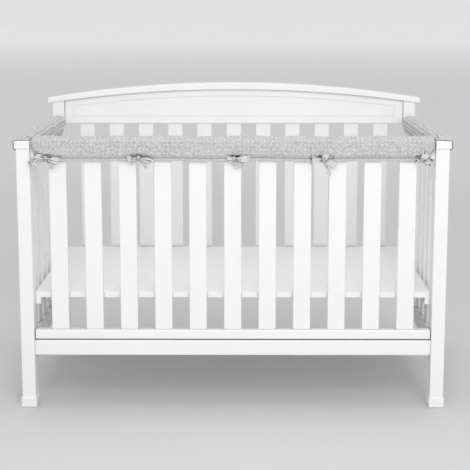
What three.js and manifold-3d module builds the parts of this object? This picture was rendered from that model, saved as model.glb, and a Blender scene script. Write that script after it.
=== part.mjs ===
// Crib rail teething guard: three padded plush covers folded over the front and side rails of a crib, the
// front one held by five bowed ties, on the plain painted crib that they fit.
// Millimetres. X runs along the crib, Y from the front (-) to the headboard (+), and Z is up from the floor.
import * as THREE from 'three';
import { mergeVertices } from 'three/addons/utils/BufferGeometryUtils.js';
import Module from 'manifold-3d';

const wasm = await Module();
wasm.setup();

// ---------------------------------------------------------------- driving sizes of the crib
const SEAM = 0.3;                                       // left between pieces that touch
const QUARTER = Math.PI / 2;
const crib = { length: 1400, depth: 780, height: 895 };
const post = { width: 45, depth: 50, round: 3 };
const postCap = { height: 26, overhang: 5, round: 4 };
const foot = { height: 36, flare: 3, round: 2 };
const rail = { thick: 30, height: 60, top: 894, setback: 10, topRound: 10, bottomRound: 4 };
const slatRound = 2.5;
const longSlats = { count: 11, width: 57, thick: 15 };  // in the front and in the back
const sideSlats = { count: 7, width: 47, thick: 12 };
const frontBottomRail = { bottom: 232, height: 32, endGap: 2.5 };
const apron = { bottom: 178, height: 51, thick: 22, setback: 6 };
const plainBottomRail = { bottom: 178, height: 60 };    // at the sides and the back
const barRound = 4;                                     // long edges of the lower rails
const arch = { underPeak: 1006, underRise: 50, topPeak: 1031, topRise: 58.5 };
const headboard = { bottom: 874, thick: 22, setback: 11, bevel: 2, fieldDepth: 2, fieldMargin: 26, fieldEnd: 34 };
const headboardCap = { length: 1434, overhang: 6, bevel: 2.5 };
const support = { top: 385, thick: 18, flange: 40, clear: 5.5 };

// ---------------------------------------------------------------- driving sizes of the guard
const guard = {
  clearTop: 0.5, clearSide: 2,                                      // from the rail's flat top and its sides
  padding: 9.5, crown: 3, hem: 3, stitch: 2.2,                      // thickness of the cloth; crown is added on top
  hemWidth: 9, stitchLine: 11.5, plump: 18,                         // measured up from the hem's edge
  innerRound: 8, cornerStraight: 14, endTaper: 20, endShare: 0.4,   // endShare of the padding is left at the ends
  overCap: { lift: 0.5, flatter: 0.35, widen: 32, cutBack: 58, before: 4 },   // where it passes over a post's cap
};
// How far each cover reaches along its rail, how high its two hems hang at the start and at the end, and how far
// along and up their corners are rounded. overPost says at which end the cover passes over a front post: -1 at
// its start, 1 at its end and 0 at neither. The front cover runs left to right, the left one from the headboard
// forward and the right one back to it.
const covers = {
  guard_front_cover: { start: -650, end: 652, outerHem: [828, 827], innerHem: [836, 834],
    outerCorner: [60, 44], innerCorner: [23, 34], overPost: 0 },
  guard_left_cover: { start: -330, end: 390, outerHem: [836, 852], innerHem: [833, 831],
    outerCorner: [150, 42], innerCorner: [85, 50], overPost: 1 },
  guard_right_cover: { start: -390, end: 332, outerHem: [852, 834], innerHem: [838, 847],
    outerCorner: [150, 42], innerCorner: [42, 26], overPost: -1 },
};
const tape = { thick: 1.8, strapWidth: 15, underHem: 4.5, clear: 0.9 };
const knot = { width: 15, depth: 8, height: 17 };
// Where each tie is knotted on the front and where its strap passes under the rail, between two slats.
const ties = [
  { name: 'tie_far_left', along: -602, up: 839, strapAlong: -613 },
  { name: 'tie_left', along: -303, up: 841, strapAlong: -300 },
  { name: 'tie_middle', along: 5, up: 838, strapAlong: 44 },
  { name: 'tie_right', along: 292, up: 836, strapAlong: 286 },
  { name: 'tie_far_right', along: 610, up: 835, strapAlong: 610 },
];
// The loops and free ends of each bow. angle and bend are degrees anticlockwise from the crib's right, seen
// from the front; open is how far a loop's two layers stand apart.
const bands = [
  { tie: 'tie_far_left', kind: 'loop', angle: 190, bend: 20, length: 57, width: 19, open: 8 },
  { tie: 'tie_far_left', kind: 'loop', angle: 2, bend: -22, length: 43, width: 19, open: 8 },
  { tie: 'tie_far_left', kind: 'end', angle: 168, bend: 14, length: 44, width: 12, open: 3 },
  { tie: 'tie_far_left', kind: 'end', angle: -62, bend: 14, length: 41, width: 13, open: 4 },
  { tie: 'tie_left', kind: 'loop', angle: 174, bend: 16, length: 36, width: 16, open: 7 },
  { tie: 'tie_left', kind: 'loop', angle: -4, bend: -26, length: 48, width: 18, open: 8 },
  { tie: 'tie_left', kind: 'end', angle: 212, bend: -8, length: 30, width: 12, open: 3 },
  { tie: 'tie_left', kind: 'end', angle: -60, bend: 20, length: 44, width: 14, open: 4 },
  { tie: 'tie_middle', kind: 'loop', angle: 165, bend: 30, length: 20, width: 16, open: 5 },
  { tie: 'tie_middle', kind: 'loop', angle: 12, bend: -18, length: 50, width: 19, open: 8 },
  { tie: 'tie_middle', kind: 'end', angle: -70, bend: 16, length: 32, width: 18, open: 3 },
  { tie: 'tie_middle', kind: 'end', angle: -38, bend: 10, length: 44, width: 12, open: 4 },
  { tie: 'tie_right', kind: 'loop', angle: 178, bend: 8, length: 36, width: 20, open: 7 },
  { tie: 'tie_right', kind: 'loop', angle: 66, bend: -10, length: 21, width: 21, open: 6 },
  { tie: 'tie_right', kind: 'end', angle: -22, bend: -14, length: 47, width: 18, open: 4 },
  { tie: 'tie_right', kind: 'end', angle: -58, bend: -22, length: 56, width: 15, open: 3 },
  { tie: 'tie_far_right', kind: 'loop', angle: 70, bend: -14, length: 25, width: 22, open: 7 },
  { tie: 'tie_far_right', kind: 'loop', angle: -2, bend: -14, length: 35, width: 15, open: 6 },
  { tie: 'tie_far_right', kind: 'end', angle: -34, bend: -12, length: 43, width: 13, open: 3 },
  { tie: 'tie_far_right', kind: 'end', angle: 196, bend: 16, length: 22, width: 12, open: 3 },
];

// ---------------------------------------------------------------- worked-out places
const innerLength = crib.length - 2 * post.width;       // between the posts, along X
const innerDepth = crib.depth - 2 * post.depth;         // between the posts, along Y
const railInset = rail.setback + rail.thick / 2;        // from the posts' outer faces to a rail's middle
const sideRailX = crib.length / 2 - railInset;
const longRailY = crib.depth / 2 - railInset;
const railBottom = rail.top - rail.height;
const innerHalf = rail.thick / 2 + guard.clearSide;     // from a rail's middle to its cover's inner face
const capHalf = postCap.overhang + railInset + guard.clearSide; // from there to its inner face beside a cap
const overCapReach = post.width - railInset - 1;        // from there to the inner hem where it lies on a cap

// ---------------------------------------------------------------- materials
const paint = new THREE.MeshStandardMaterial({ color: 0xf3f3f2, roughness: 0.45, metalness: 0 });
const plush = new THREE.MeshStandardMaterial({ color: 0xcccccc, roughness: 0.95, metalness: 0 });
const tieCloth = new THREE.MeshStandardMaterial({ color: 0xd2d2d2, roughness: 0.9, metalness: 0 });

const model = new THREE.Group();

function add(name, geometry, material, x = 0, y = 0, z = 0) {
  const mesh = new THREE.Mesh(geometry, material);
  mesh.name = name;
  mesh.position.set(x, y, z);
  model.add(mesh);
}

// ---------------------------------------------------------------- solids
// A closed surface skinned over rings of points, all alike in count, with strips or a fan over each end.
function skin(rings, endFaces) {
  const count = rings[0].length;
  const last = (rings.length - 1) * count;
  const index = [];
  for (let ring = 0; ring < last; ring += count) {
    for (let i = 0; i < count; i += 1) {
      const next = (i + 1) % count;
      index.push(ring + i, ring + next, ring + count + next);
      index.push(ring + i, ring + count + next, ring + count + i);
    }
  }
  for (const [a, b, c] of endFaces) {
    index.push(c, b, a);
    index.push(last + a, last + b, last + c);
  }
  const geometry = new THREE.BufferGeometry();
  geometry.setAttribute('position', new THREE.Float32BufferAttribute(rings.flat(2), 3));
  geometry.setIndex(index);
  return geometry;
}

// Triangles over the end of a round ring, and over the end of a band folded back on itself.
function fanFaces(count) {
  return Array.from({ length: count - 2 }, (_, i) => [0, i + 1, i + 2]);
}

function stripFaces(count) {
  const faces = [];
  for (let i = 0; i < count / 2 - 1; i += 1) {
    faces.push([i, i + 1, count - 2 - i]);
    faces.push([i, count - 2 - i, count - 1 - i]);
  }
  return faces;
}

// A rectangle with rounded corners; the two upper corners may have a radius of their own.
function roundedRect(width, height, radius, upperRadius = radius) {
  const shape = new THREE.Shape();
  const low = width / 2 - radius;
  const high = width / 2 - upperRadius;
  shape.absarc(high, height / 2 - upperRadius, upperRadius, 0, QUARTER);
  shape.absarc(-high, height / 2 - upperRadius, upperRadius, QUARTER, 2 * QUARTER);
  shape.absarc(-low, radius - height / 2, radius, 2 * QUARTER, 3 * QUARTER);
  shape.absarc(low, radius - height / 2, radius, 3 * QUARTER, 4 * QUARTER);
  return shape;
}

function extrude(shape, length, curveSegments = 1) {
  const geometry = new THREE.ExtrudeGeometry(shape, { depth: length, bevelEnabled: false, curveSegments });
  return geometry.translate(0, 0, -length / 2);
}

// A bar of one section along X or Y: the section's width lies level and its height stands up.
function barAlongX(shape, length, curveSegments) {
  return extrude(shape, length, curveSegments).rotateX(QUARTER).rotateZ(QUARTER);
}

function barAlongY(shape, length, curveSegments) {
  return extrude(shape, length, curveSegments).rotateX(QUARTER);
}

function toSolid(geometry) {
  const bare = geometry.clone();
  bare.deleteAttribute('normal');
  bare.deleteAttribute('uv');
  const merged = mergeVertices(bare, 1e-4);
  return new wasm.Manifold(new wasm.Mesh({
    numProp: 3,
    vertProperties: Float32Array.from(merged.attributes.position.array),
    triVerts: Uint32Array.from(merged.index.array),
  }));
}

function toGeometry(solid) {
  const mesh = solid.getMesh();
  const geometry = new THREE.BufferGeometry();
  geometry.setAttribute('position', new THREE.Float32BufferAttribute(mesh.vertProperties, 3));
  geometry.setIndex(Array.from(mesh.triVerts));
  return geometry;
}

// Height, at x, of a circular arc that is highest at x = 0 and falls by rise at x = halfSpan.
function arcHeight(peak, rise, halfSpan, x) {
  const radius = (halfSpan ** 2 + rise ** 2) / (2 * rise);
  return peak - radius + Math.sqrt(radius ** 2 - x ** 2);
}

const archUnder = (x) => arcHeight(arch.underPeak, arch.underRise, crib.length / 2, x);
const archTop = (x) => arcHeight(arch.topPeak, arch.topRise, headboardCap.length / 2, x);

// Points of a curve z = height(x), from x = from to x = to.
function arcPoints(height, from, to, steps) {
  return Array.from({ length: steps + 1 }, (_, i) => {
    const x = from + (to - from) * i / steps;
    return new THREE.Vector2(x, height(x));
  });
}

// ---------------------------------------------------------------- posts
const postX = (crib.length - post.width) / 2;
const postY = (crib.depth - post.depth) / 2;
const sides = [{ name: 'left', sign: -1 }, { name: 'right', sign: 1 }];

// A post's profile. Each row is a height, how far the section stands out there on all four faces, and how far
// it stands out besides on the two outer faces, as a cap does whose inner faces are flush with the rails' ends.
const footRows = [
  { z: 0, allRound: foot.flare - foot.round, outward: 0 },
  { z: foot.round, allRound: foot.flare, outward: 0 },
  { z: foot.height - foot.flare, allRound: foot.flare, outward: 0 },
  { z: foot.height, allRound: 0, outward: 0 },
];
const capRows = [
  { z: crib.height - postCap.height, allRound: 0, outward: 0 },
  { z: crib.height - postCap.height + 1, allRound: 0, outward: postCap.overhang },
  { z: crib.height - postCap.round, allRound: 0, outward: postCap.overhang },
  { z: crib.height - postCap.round / 3, allRound: 0, outward: postCap.overhang - postCap.round / 3 },
  { z: crib.height, allRound: 0, outward: postCap.overhang - postCap.round },
];

function postGeometry(rows, outX, outY) {
  const rings = rows.map(({ z, allRound, outward }) => {
    const grow = 2 * allRound + outward;
    const points = roundedRect(post.width + grow, post.depth + grow, post.round).extractPoints(2).shape.slice(0, -1);
    return points.map((p) => [p.x + outX * outward / 2, p.y + outY * outward / 2, z]);
  });
  return skin(rings, fanFaces(rings[0].length));
}

for (const side of sides) {
  add(`post_front_${side.name}`, postGeometry([...footRows, ...capRows], side.sign, -1), paint,
    side.sign * postX, -postY);
  const overArch = { z: arch.topPeak, allRound: 0, outward: 0 };
  const tall = postGeometry([...footRows, overArch], side.sign, 1).translate(side.sign * postX, 0, 0);
  const past = crib.length / 2 + post.width;
  const roomUnderArch = new THREE.Shape([
    new THREE.Vector2(-past, -post.width),
    new THREE.Vector2(past, -post.width),
    ...arcPoints((x) => archUnder(x) - SEAM, past, -past, 60),
  ]);
  const cut = toSolid(tall).intersect(toSolid(extrude(roomUnderArch, 2 * post.depth).rotateX(QUARTER)));
  add(`post_back_${side.name}`, toGeometry(cut), paint, 0, postY);
}

// ---------------------------------------------------------------- rails
const railSection = roundedRect(rail.thick, rail.height, rail.bottomRound, rail.topRound);
const touchingLength = innerLength - 2 * SEAM;
const touchingDepth = innerDepth - 2 * SEAM;
const railMiddle = rail.top - rail.height / 2;

add('front_top_rail', barAlongX(railSection, touchingLength, 4), paint, 0, -longRailY, railMiddle);

const frontBottomSection = roundedRect(rail.thick, frontBottomRail.height, barRound);
add('front_bottom_rail', barAlongX(frontBottomSection, innerLength - 2 * frontBottomRail.endGap), paint,
  0, -longRailY, frontBottomRail.bottom + frontBottomRail.height / 2);

const apronSection = roundedRect(apron.thick, apron.height, barRound);
add('front_apron_rail', barAlongX(apronSection, touchingLength), paint,
  0, apron.setback + apron.thick / 2 - crib.depth / 2, apron.bottom + apron.height / 2);

const plainSection = roundedRect(rail.thick, plainBottomRail.height, barRound);
const plainMiddle = plainBottomRail.bottom + plainBottomRail.height / 2;
add('back_bottom_rail', barAlongX(plainSection, touchingLength), paint, 0, longRailY, plainMiddle);

for (const side of sides) {
  add(`${side.name}_top_rail`, barAlongY(railSection, touchingDepth, 4), paint, side.sign * sideRailX, 0, railMiddle);
  add(`${side.name}_bottom_rail`, barAlongY(plainSection, touchingDepth), paint,
    side.sign * sideRailX, 0, plainMiddle);
}

// ---------------------------------------------------------------- slats
// Slats share a span with equal gaps between them and to the posts.
function slatPlaces(span, row) {
  const gap = (span - row.count * row.width) / (row.count + 1);
  return Array.from({ length: row.count }, (_, i) => (gap + row.width) * (i - (row.count - 1) / 2));
}

function slatGeometry({ width, thick }, bottom, top) {
  const length = top - bottom - 2 * SEAM;
  return extrude(roundedRect(width, thick, slatRound), length).translate(0, 0, (top + bottom) / 2);
}

const plainRailTop = plainBottomRail.bottom + plainBottomRail.height;
slatPlaces(innerLength, longSlats).forEach((x, i) => {
  const frontFoot = frontBottomRail.bottom + frontBottomRail.height;
  add(`front_slat_${i + 1}`, slatGeometry(longSlats, frontFoot, railBottom), paint, x, -longRailY);
  add(`back_slat_${i + 1}`, slatGeometry(longSlats, plainRailTop, headboard.bottom), paint, x, longRailY);
});
for (const side of sides) {
  slatPlaces(innerDepth, sideSlats).forEach((y, i) => {
    const geometry = slatGeometry(sideSlats, plainRailTop, railBottom).rotateZ(QUARTER);
    add(`${side.name}_slat_${i + 1}`, geometry, paint, side.sign * sideRailX, y);
  });
}

// ---------------------------------------------------------------- headboard
const archSteps = 20;

// An outline in X and Z between a line below and a curve above, made into a board that is thick along Y.
function board(halfLength, bottomLine, topHeight, thick, bevel) {
  const outline = new THREE.Shape([
    ...bottomLine,
    ...arcPoints(topHeight, halfLength - bevel, -halfLength + bevel, archSteps),
  ]);
  const geometry = new THREE.ExtrudeGeometry(outline, {
    depth: thick - 2 * bevel,
    bevelThickness: bevel,
    bevelSize: bevel,
    bevelSegments: 2,
    bevelEnabled: bevel > 0,
  });
  return geometry.translate(0, 0, bevel - thick / 2).rotateX(QUARTER);
}

function levelLine(halfLength, height) {
  return arcPoints(() => height, -halfLength, halfLength, 1);
}

const panelHalf = touchingLength / 2;
const panelLine = levelLine(panelHalf - headboard.bevel, headboard.bottom + headboard.bevel);
const panelBoard = board(panelHalf, panelLine, (x) => archUnder(x) - SEAM - headboard.bevel,
  headboard.thick, headboard.bevel);
const fieldHalf = panelHalf - headboard.fieldEnd;
const fieldLine = levelLine(fieldHalf, headboard.bottom + headboard.fieldMargin);
const fieldBoard = board(fieldHalf, fieldLine, (x) => archUnder(x) - headboard.fieldMargin, headboard.thick, 0)
  .translate(0, headboard.fieldDepth - headboard.thick, 0);
add('headboard_panel', toGeometry(toSolid(panelBoard).subtract(toSolid(fieldBoard))), paint,
  0, crib.depth / 2 - post.depth + headboard.setback + headboard.thick / 2);

const capInset = headboardCap.length / 2 - headboardCap.bevel;
const capLine = arcPoints((x) => archUnder(x) + headboardCap.bevel, -capInset, capInset, archSteps);
const capBoard = board(headboardCap.length / 2, capLine, (x) => archTop(x) - headboardCap.bevel,
  post.depth + 2 * headboardCap.overhang, headboardCap.bevel);
add('headboard_cap', capBoard, paint, 0, postY);

// ---------------------------------------------------------------- mattress support
// A board with a flange down at each end, which is bolted between the corner posts.
const supportHalf = touchingLength / 2;
const supportOutline = new THREE.Shape([
  new THREE.Vector2(-supportHalf, support.top - support.flange),
  new THREE.Vector2(-supportHalf + support.thick, support.top - support.flange),
  new THREE.Vector2(-supportHalf + support.thick, support.top - support.thick),
  new THREE.Vector2(supportHalf - support.thick, support.top - support.thick),
  new THREE.Vector2(supportHalf - support.thick, support.top - support.flange),
  new THREE.Vector2(supportHalf, support.top - support.flange),
  new THREE.Vector2(supportHalf, support.top),
  new THREE.Vector2(-supportHalf, support.top),
]);
const supportDepth = 2 * (longRailY - longSlats.thick / 2 - support.clear);
add('mattress_support', extrude(supportOutline, supportDepth).rotateX(QUARTER), paint);

// ---------------------------------------------------------------- rail covers
// A quarter-round rise from 0 to 1 while distance goes from 0 to reach.
function rise(distance, reach) {
  return Math.sin(QUARTER * THREE.MathUtils.clamp(distance / reach, 0, 1));
}

// How far a place along a side cover lies past the back of the front post. It is negative over the rail.
function pastPost(cover, along) {
  return cover.overPost === 0 ? -Infinity : cover.overPost * along - innerDepth / 2;
}

// Height of a cover's hem at a place along it: gently uneven, with its corners rounded up at the cover's ends as
// quarters of an ellipse that leave a short straight stretch under the shoulder.
function hemLine(cover, hemName, along) {
  const part = (along - cover.start) / (cover.end - cover.start);
  return THREE.MathUtils.lerp(...cover[hemName], part) + 1.3 * Math.sin(along / 61) + 0.5 * Math.sin(along / 41);
}

function hemHeight(cover, side, along, shoulder) {
  const hem = hemLine(cover, `${side}Hem`, along);
  const [cornerAlong, cornerUp] = cover[`${side}Corner`];
  const fromEnd = Math.min(along - cover.start, cover.end - along);
  const part = 1 - THREE.MathUtils.clamp(fromEnd / cornerAlong, 0, 1);
  return hem + Math.min(cornerUp, shoulder - guard.cornerStraight - hem) * (1 - Math.sqrt(1 - part ** 2));
}

// Stations along a cover: close together where its ends round off and where it widens to pass over a post.
function stations(cover, spacing) {
  const rounding = [0, 1.5, 5, 10, 16, 24, 36];
  const pastThePost = [0, 1.5, 5, 10, 16, 24, 37, 50, 54, 58, 64, 73, 84, 98, 114];
  const first = cover.overPost < 0 ? pastThePost : rounding;
  const last = cover.overPost > 0 ? pastThePost : rounding;
  const from = cover.start + first.at(-1);
  const to = cover.end - last.at(-1);
  const even = Math.round((to - from) / spacing);
  const middle = Array.from({ length: even - 1 }, (_, i) => THREE.MathUtils.lerp(from, to, (i + 1) / even));
  return [...first.map((d) => cover.start + d), ...middle, ...last.map((d) => cover.end - d).reverse()];
}

// The cover's section at a station: the height of its inner surface over the rail, how far it stands from the
// rail's middle, and how far its two hems lie from the middle, measured over the cloth. Over a cap it is wider
// and a little higher, and its inner side is cut back in a quarter of an ellipse until it only lies on the cap.
function coverSection(cover, along) {
  const past = pastPost(cover, along);
  const overCap = rise(past + guard.overCap.before + guard.overCap.widen, guard.overCap.widen);
  const half = THREE.MathUtils.lerp(innerHalf, capHalf, overCap);
  const top = THREE.MathUtils.lerp(rail.top, crib.height + guard.overCap.lift, overCap) + guard.clearTop;
  const shoulder = top - guard.innerRound;
  const toShoulder = half - guard.innerRound + guard.innerRound * QUARTER;
  const outer = toShoulder + shoulder - hemHeight(cover, 'outer', along, shoulder);
  const whole = toShoulder + shoulder - hemHeight(cover, 'inner', along, shoulder);
  const part = THREE.MathUtils.clamp(1 + (past + guard.overCap.before) / guard.overCap.cutBack, 0, 1);
  const inner = overCapReach + (whole - overCapReach) * Math.sqrt(1 - part ** 2);
  return { half, top, outer, inner, overCap };
}

// A point on the inner surface at a distance over the cloth from the middle of the rail: level, then round the
// shoulder, then down. It has its place across the rail, its height and its outward direction.
function wrapPoint(section, sign, distance) {
  const flat = section.half - guard.innerRound;
  const turn = THREE.MathUtils.clamp((distance - flat) / guard.innerRound, 0, QUARTER);
  const down = Math.max(0, distance - flat - guard.innerRound * QUARTER);
  return {
    across: sign * (Math.min(distance, flat) + guard.innerRound * Math.sin(turn)),
    up: section.top - guard.innerRound * (1 - Math.cos(turn)) - down,
    out: [sign * Math.sin(turn), Math.cos(turn)],
  };
}

// The whole inner surface at one station, from the outer hem up, over the rail and down to the inner hem. Each
// point also says how far it lies from the nearer hem.
function wrapPoints(section) {
  const flat = section.half - guard.innerRound;
  const points = [{ ...wrapPoint(section, 1, 0), fromHem: Math.min(section.outer, section.inner) }];
  for (const [sign, reach] of [[-1, section.outer], [1, section.inner]]) {
    const stitch = reach - guard.stitchLine;
    const fit = Math.min(1, (stitch - 2) / (flat + guard.innerRound * QUARTER));
    const round = [0, 1, 2, 3].map((step) => fit * (flat + guard.innerRound * QUARTER * step / 3));
    const distances = [...round, THREE.MathUtils.lerp(round[3], stitch, 0.8), stitch, reach - guard.hemWidth, reach];
    const side = distances.map((d) => ({ ...wrapPoint(section, sign, d), fromHem: reach - d }));
    if (sign < 0) points.unshift(...side.reverse());
    else points.push(...side);
  }
  return points;
}

// Thickness of the padded cloth: thin at the hem, thinner in the stitched line, plump above it and most of all
// over the middle of the rail, and thinner again at the cover's ends and over a cap.
function clothThickness(fromHem, fromEnd, along, across = innerHalf, overCap = 0) {
  if (fromHem < guard.hemWidth + SEAM) return guard.hem;
  if (fromHem < guard.stitchLine + SEAM) return guard.stitch;
  const uneven = 0.5 * Math.sin(along / 59) + 0.4 * Math.sin(along / 33 + 1);
  const crown = guard.crown * Math.max(0, 1 - (across / innerHalf) ** 2);
  const plump = (guard.padding + crown + uneven - guard.hem) * (1 - guard.overCap.flatter * overCap);
  const atEnd = THREE.MathUtils.lerp(guard.endShare, 1, rise(fromEnd, guard.endTaper));
  return guard.hem + plump * rise(fromHem - guard.stitchLine, guard.plump) * atEnd;
}

// place(across, along, up) turns a cover's own measures into X, Y and Z.
function coverGeometry(cover, spacing, place) {
  const rings = stations(cover, spacing).map((along) => {
    const fromEnd = Math.min(along - cover.start, cover.end - along);
    const section = coverSection(cover, along);
    const inner = wrapPoints(section);
    const outer = inner.map((p) => {
      const thick = clothThickness(p.fromHem, fromEnd, along, p.across, section.overCap);
      return { across: p.across + thick * p.out[0], up: p.up + thick * p.out[1] };
    });
    return [...inner, ...outer.reverse()].map((p) => place(p.across, along, p.up));
  });
  return skin(rings, stripFaces(rings[0].length));
}

add('guard_front_cover', coverGeometry(covers.guard_front_cover, 62,
  (across, along, up) => [along, across - longRailY, up]), plush);
add('guard_left_cover', coverGeometry(covers.guard_left_cover, 95,
  (across, along, up) => [across - sideRailX, -along, up]), plush);
add('guard_right_cover', coverGeometry(covers.guard_right_cover, 95,
  (across, along, up) => [sideRailX - across, along, up]), plush);

// ---------------------------------------------------------------- ties
// A flat tape along a line of places. Each place has a centre, the tape's own width direction, its thickness
// direction and its width there.
function tapeGeometry(places) {
  const rings = places.map(({ centre, wide, thin, width }) => {
    const corners = [[-1, -1], [1, -1], [1, 1], [-1, 1]];
    return corners.map(([a, b]) => centre.clone()
      .addScaledVector(wide, a * width / 2)
      .addScaledVector(thin, b * tape.thick / 2)
      .toArray());
  });
  return skin(rings, fanFaces(4));
}

// How far forward a tie's cloth lies at a place: just clear of the front cover, or of a post's face past it.
function layFront(along, up) {
  const fromHem = Math.max(0, up - hemLine(covers.guard_front_cover, 'outerHem', along));
  const cover = longRailY + innerHalf + clothThickness(fromHem, guard.endTaper, along);
  const overPost = Math.abs(along) > innerLength / 2 - foot.flare ? crib.depth / 2 : 0;
  return -Math.max(cover, overPost) - tape.clear;
}

// One layer of a bow's loop or free end, from the knot out to its tip. side is -1 for a loop's front layer, 1
// for its back layer and 0 for a free end, whose line waves gently instead.
function bandPlaces(tie, band, side) {
  const steps = 5;
  const stride = band.length / steps;
  let along = tie.along;
  let up = tie.up;
  return Array.from({ length: steps + 1 }, (_, i) => {
    const part = i / steps;
    const turn = THREE.MathUtils.degToRad(band.angle + band.bend * part);
    if (i > 0) {
      along += stride * Math.cos(turn);
      up += stride * Math.sin(turn);
    }
    const width = band.width * (0.5 + 0.5 * rise(part, 0.5));
    const reach = width / 2 * Math.abs(Math.cos(turn));
    const swell = side === 0 ? 0.5 * Math.sin(2 * Math.PI * part) : side * Math.sin(Math.PI * part ** 0.8);
    const lie = layFront(along, up + reach) - tape.thick / 2;
    return {
      centre: new THREE.Vector3(along, lie + (swell - 1) * band.open / 2, up),
      wide: new THREE.Vector3(-Math.sin(turn), 0, Math.cos(turn)),
      thin: new THREE.Vector3(0, -1, 0),
      width,
    };
  });
}

// The strap leaves the inner hem, passes under the rail and comes up in front of the outer hem to the knot.
function strapPlaces(tie) {
  const half = innerHalf + guard.hem;
  const innerHem = hemLine(covers.guard_front_cover, 'innerHem', tie.strapAlong);
  const under = hemLine(covers.guard_front_cover, 'outerHem', tie.strapAlong) - tape.underHem;
  const rows = [
    { across: half - guard.hem / 2, up: innerHem - 3 * SEAM, along: tie.strapAlong },
    { across: half - 2.5, up: under + 4, along: tie.strapAlong },
    { across: half - 7, up: under, along: tie.strapAlong },
    { across: 4 - half, up: under, along: tie.strapAlong },
    { across: -half - 2.5, up: under + 1, along: tie.strapAlong },
    { across: -half - 5.5, up: under + 5, along: THREE.MathUtils.lerp(tie.strapAlong, tie.along, 0.25) },
    { across: tie.front + longRailY, up: tie.up - 2, along: tie.along },
  ];
  const curve = new THREE.CatmullRomCurve3(rows.map((r) => new THREE.Vector3(r.along, r.across - longRailY, r.up)));
  const lengthwise = new THREE.Vector3(1, 0, 0);
  const steps = 13;
  return Array.from({ length: steps + 1 }, (_, i) => {
    const tangent = curve.getTangent(i / steps);
    const thin = tangent.clone().cross(lengthwise).normalize();
    const wide = thin.clone().cross(tangent);
    return { centre: curve.getPoint(i / steps), wide, thin, width: tape.strapWidth };
  });
}

function bowGeometry(place) {
  const front = layFront(place.along, place.up + knot.height / 2) - knot.depth / 2;
  const tie = { ...place, front };
  const knotBall = new THREE.SphereGeometry(0.5, 8, 6).rotateX(QUARTER).scale(knot.width, knot.depth, knot.height)
    .translate(tie.along, tie.front, tie.up);
  let bow = toSolid(knotBall).add(toSolid(tapeGeometry(strapPlaces(tie))));
  for (const band of bands.filter((row) => row.tie === tie.name)) {
    for (const side of band.kind === 'loop' ? [-1, 1] : [0]) {
      bow = bow.add(toSolid(tapeGeometry(bandPlaces(tie, band, side))));
    }
  }
  return toGeometry(bow);
}

for (const tie of ties) {
  add(tie.name, bowGeometry(tie), tieCloth);
}

// ---------------------------------------------------------------- origin
// The origin is on the floor, under the middle of the whole.
const whole = new THREE.Box3().setFromObject(model);
const middle = whole.getCenter(new THREE.Vector3());
model.position.set(-middle.x, -middle.y, -whole.min.z);

export default model;
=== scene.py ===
"""Crib rail teething guard: three padded plush covers folded over the front and side rails of a white crib,
the front one held by five bowed tapes. Sizes are in millimetres until a mesh is made, and the frame's
axes hold throughout: X along the crib, Y from the tied front to the headboard, Z up from the floor."""

import math

import bpy
import numpy as np
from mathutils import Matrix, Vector


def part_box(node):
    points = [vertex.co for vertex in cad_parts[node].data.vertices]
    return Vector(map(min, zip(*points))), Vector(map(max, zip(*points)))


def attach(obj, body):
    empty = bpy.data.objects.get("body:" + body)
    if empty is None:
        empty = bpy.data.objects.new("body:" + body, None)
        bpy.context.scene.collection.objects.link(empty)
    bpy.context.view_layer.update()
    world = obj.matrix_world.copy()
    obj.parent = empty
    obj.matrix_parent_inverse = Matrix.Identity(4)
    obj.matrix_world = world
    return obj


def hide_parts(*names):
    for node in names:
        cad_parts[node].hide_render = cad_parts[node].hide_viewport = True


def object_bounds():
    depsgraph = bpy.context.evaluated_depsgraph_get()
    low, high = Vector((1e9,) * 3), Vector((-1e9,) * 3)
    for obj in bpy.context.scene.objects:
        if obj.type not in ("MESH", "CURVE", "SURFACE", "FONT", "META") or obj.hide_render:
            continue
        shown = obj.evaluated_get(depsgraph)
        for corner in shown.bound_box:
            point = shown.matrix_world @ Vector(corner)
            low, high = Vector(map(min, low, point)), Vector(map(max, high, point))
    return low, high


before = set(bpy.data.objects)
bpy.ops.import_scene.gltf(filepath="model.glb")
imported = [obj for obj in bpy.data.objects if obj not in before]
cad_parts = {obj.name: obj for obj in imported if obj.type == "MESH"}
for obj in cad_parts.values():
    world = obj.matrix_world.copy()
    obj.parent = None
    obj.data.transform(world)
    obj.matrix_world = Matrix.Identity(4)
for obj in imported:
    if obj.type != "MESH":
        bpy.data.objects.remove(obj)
cad_low, cad_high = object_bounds()
MM = 0.001
QUARTER = math.pi / 2


def middle_of(node):
    """The middle of a node's box, in millimetres."""
    low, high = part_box(node)
    return np.array((low + high) / 2) / MM


# ---------------------------------------------------------------- camera and light
def link(name, data, place=(0, 0, 0)):
    """Puts an object with this data into the scene."""
    made = bpy.data.objects.new(name, data)
    made.location = place
    bpy.context.scene.collection.objects.link(made)
    return made


def add_camera(place, tilt, turn, lens, shift_y):
    """A camera that looks along +Y, tilted down and turned to its left by degrees."""
    data = bpy.data.cameras.new("camera")
    data.lens, data.shift_y, data.clip_end = lens, shift_y, 150
    camera = link("camera", data, place)
    camera.rotation_euler = (math.radians(90 - tilt), 0, math.radians(turn))
    bpy.context.scene.camera = camera


def add_area_light(name, place, target, size, power):
    """A square soft light at place that shines at target."""
    data = bpy.data.lights.new(name, "AREA")
    data.shape, data.size, data.energy = "SQUARE", size, power
    lamp = link(name, data, place)
    lamp.visible_camera = False
    lamp.rotation_euler = (Vector(target) - Vector(place)).to_track_quat("-Z", "Y").to_euler()


add_camera((0.0228, cad_low.y - 3.541, 1.326), tilt=8.38, turn=0.243, lens=85.2, shift_y=-0.14)
add_area_light("window", (0.45, -4.1, 2.5), (0, 0, 0.6), 3.2, 94)
add_area_light("overhead", (0.0, 0.3, 4.2), (0, 0, 0.5), 3.6, 45)


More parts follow.
